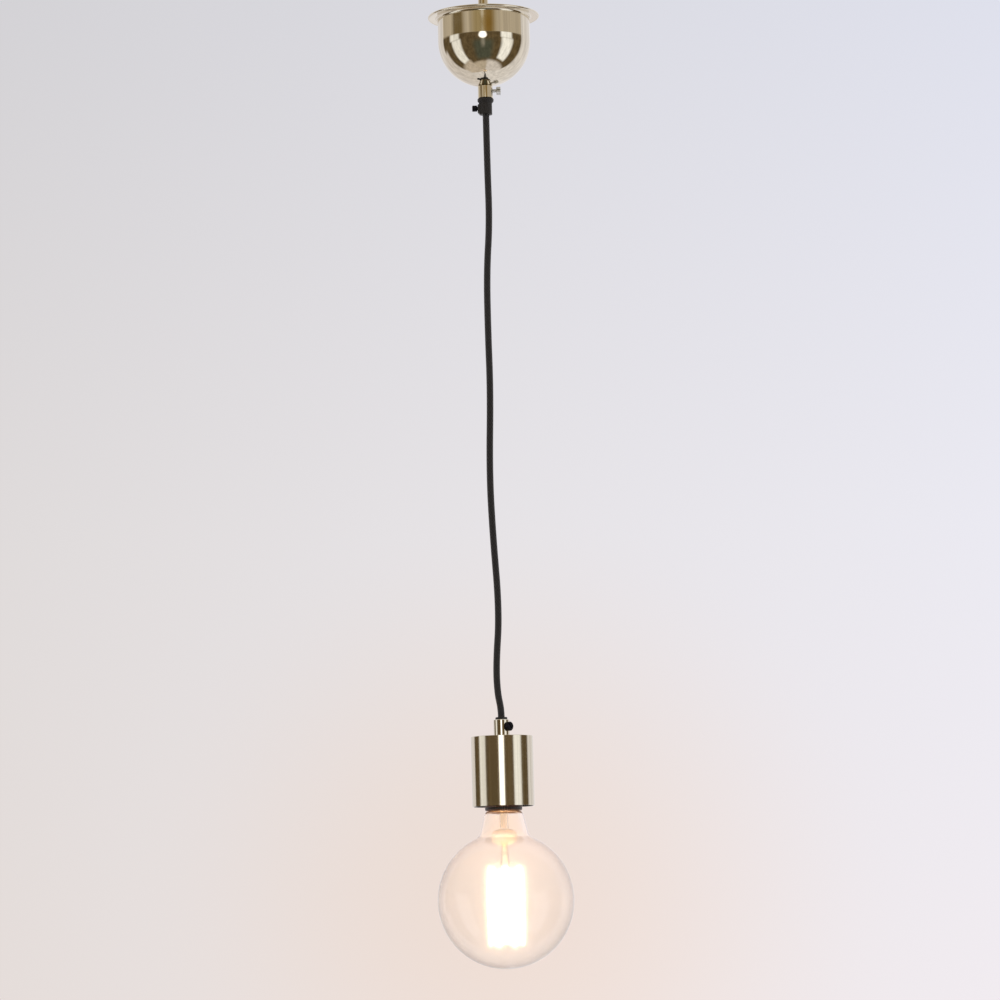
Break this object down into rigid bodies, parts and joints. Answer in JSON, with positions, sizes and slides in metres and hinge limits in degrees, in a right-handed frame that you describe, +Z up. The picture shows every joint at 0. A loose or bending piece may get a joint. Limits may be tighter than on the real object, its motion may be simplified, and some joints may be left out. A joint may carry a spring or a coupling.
{
  "type": "cord pendant lamp",
  "caption": "Pendant lamp with a round metal ceiling cup, an adjustable black fabric cord, a cylindrical metal lamp cup and a large clear globe bulb.",
  "frame": {"origin": "centre of the hanging eye's bore, where a ceiling hook carries the lamp", "axes": "+Z up along the cord, +X to the right and -Y towards the viewer"},
  "size_m": [0.125, 0.125, 0.9406],
  "materials": {
    "polished_nickel": "polished nickel plate on steel",
    "bright_chrome": "bright chrome plate",
    "black_plastic": "moulded, fine matte grain",
    "black_screw": "black oxide steel",
    "black_fabric": "braided textile cord",
    "zinc_steel": "zinc plated steel",
    "brass": "plain turned brass",
    "white_plastic": "moulded, slightly glossy",
    "ceramic": "glazed steatite",
    "core_brown": "smooth insulation",
    "core_blue": "smooth insulation",
    "core_earth": "smooth insulation, green and yellow",
    "clear_glass": "clear blown glass",
    "stem_glass": "clear lead glass",
    "black_glass": "black insulating glass",
    "filament": "lit, warm white",
    "solder": "tinned solder"
  },
  "bodies": {
    "ceiling": {"hanging_eye": "polished_nickel", "carrier_tube": "zinc_steel", "upper_grip_body": "black_plastic", "cord_upper": "black_fabric", "core_live_upper": "core_brown", "core_neutral_upper": "core_blue", "core_earth_upper": "core_earth", "terminal_block": "white_plastic", "terminal_screws": "zinc_steel"},
    "cup": {"ceiling_cup": "polished_nickel", "cup_collar": "polished_nickel"},
    "collar_screw": {"collar_screw": "bright_chrome"},
    "upper_screw": {"upper_grip_screw": "black_screw"},
    "hang": {"cord": "black_fabric"},
    "lamp": {"lower_grip_insert": "black_plastic", "lower_grip_sleeve": "polished_nickel", "cord_lower": "black_fabric", "core_live_lower": "core_brown", "core_neutral_lower": "core_blue", "nipple": "zinc_steel", "lamp_cup": "polished_nickel", "cup_washer": "zinc_steel", "cup_nut": "zinc_steel", "holder_dome": "black_plastic", "holder_skirt": "black_plastic", "contact_carrier": "ceramic", "holder_screws": "brass", "thread_shell": "brass", "centre_contact": "brass", "side_contact": "brass"},
    "lower_screw": {"lower_grip_screw": "black_screw"},
    "bulb_seat": {"bulb_tip": "solder"},
    "bulb": {"bulb_glass": "clear_glass", "bulb_cap": "brass", "bulb_insulator": "black_glass", "glass_stem": "stem_glass", "filament": "filament", "hook_wires": "zinc_steel", "lead_wires": "zinc_steel"}
  },
  "joints": [
    {"name": "cup_slide", "type": "slide", "parent": "ceiling", "child": "cup", "axis": [0, 0, 1], "range_m": [0, 0.03]},
    {"name": "collar_screw_turn", "type": "hinge", "parent": "cup", "child": "collar_screw", "pos_m": [0, 0, -0.1157], "axis": [1, 0, 0], "range_deg": [0, 360]},
    {"name": "upper_screw_turn", "type": "hinge", "parent": "ceiling", "child": "upper_screw", "pos_m": [0, 0, -0.1319], "axis": [-1, 0, 0], "range_deg": [0, 360]},
    {"name": "swing", "type": "hinge", "parent": "ceiling", "child": "hang", "pos_m": [0, 0, -0.1379], "axis": [0, 1, 0], "range_deg": [-20, 20]},
    {"name": "drop", "type": "slide", "parent": "hang", "child": "lamp", "axis": [0, 0, 1], "range_m": [0, 0.25], "deforming": ["cord"]},
    {"name": "lower_screw_turn", "type": "hinge", "parent": "lamp", "child": "lower_screw", "pos_m": [0, 0, -0.7094], "axis": [0.7431, -0.6691, 0], "range_deg": [0, 360]},
    {"name": "bulb_travel", "type": "slide", "parent": "lamp", "child": "bulb_seat", "axis": [0, 0, -1], "range_m": [0, 0.01452]},
    {"name": "bulb_turn", "type": "hinge", "parent": "bulb_seat", "child": "bulb", "pos_m": [0, 0, -0.7863], "axis": [0, 0, -1], "range_deg": [0, 1440]}
  ],
  "couplings": [
    {"joint": "bulb_travel", "follows": "bulb_turn", "m_per_rad": 0.0005775}
  ]
}
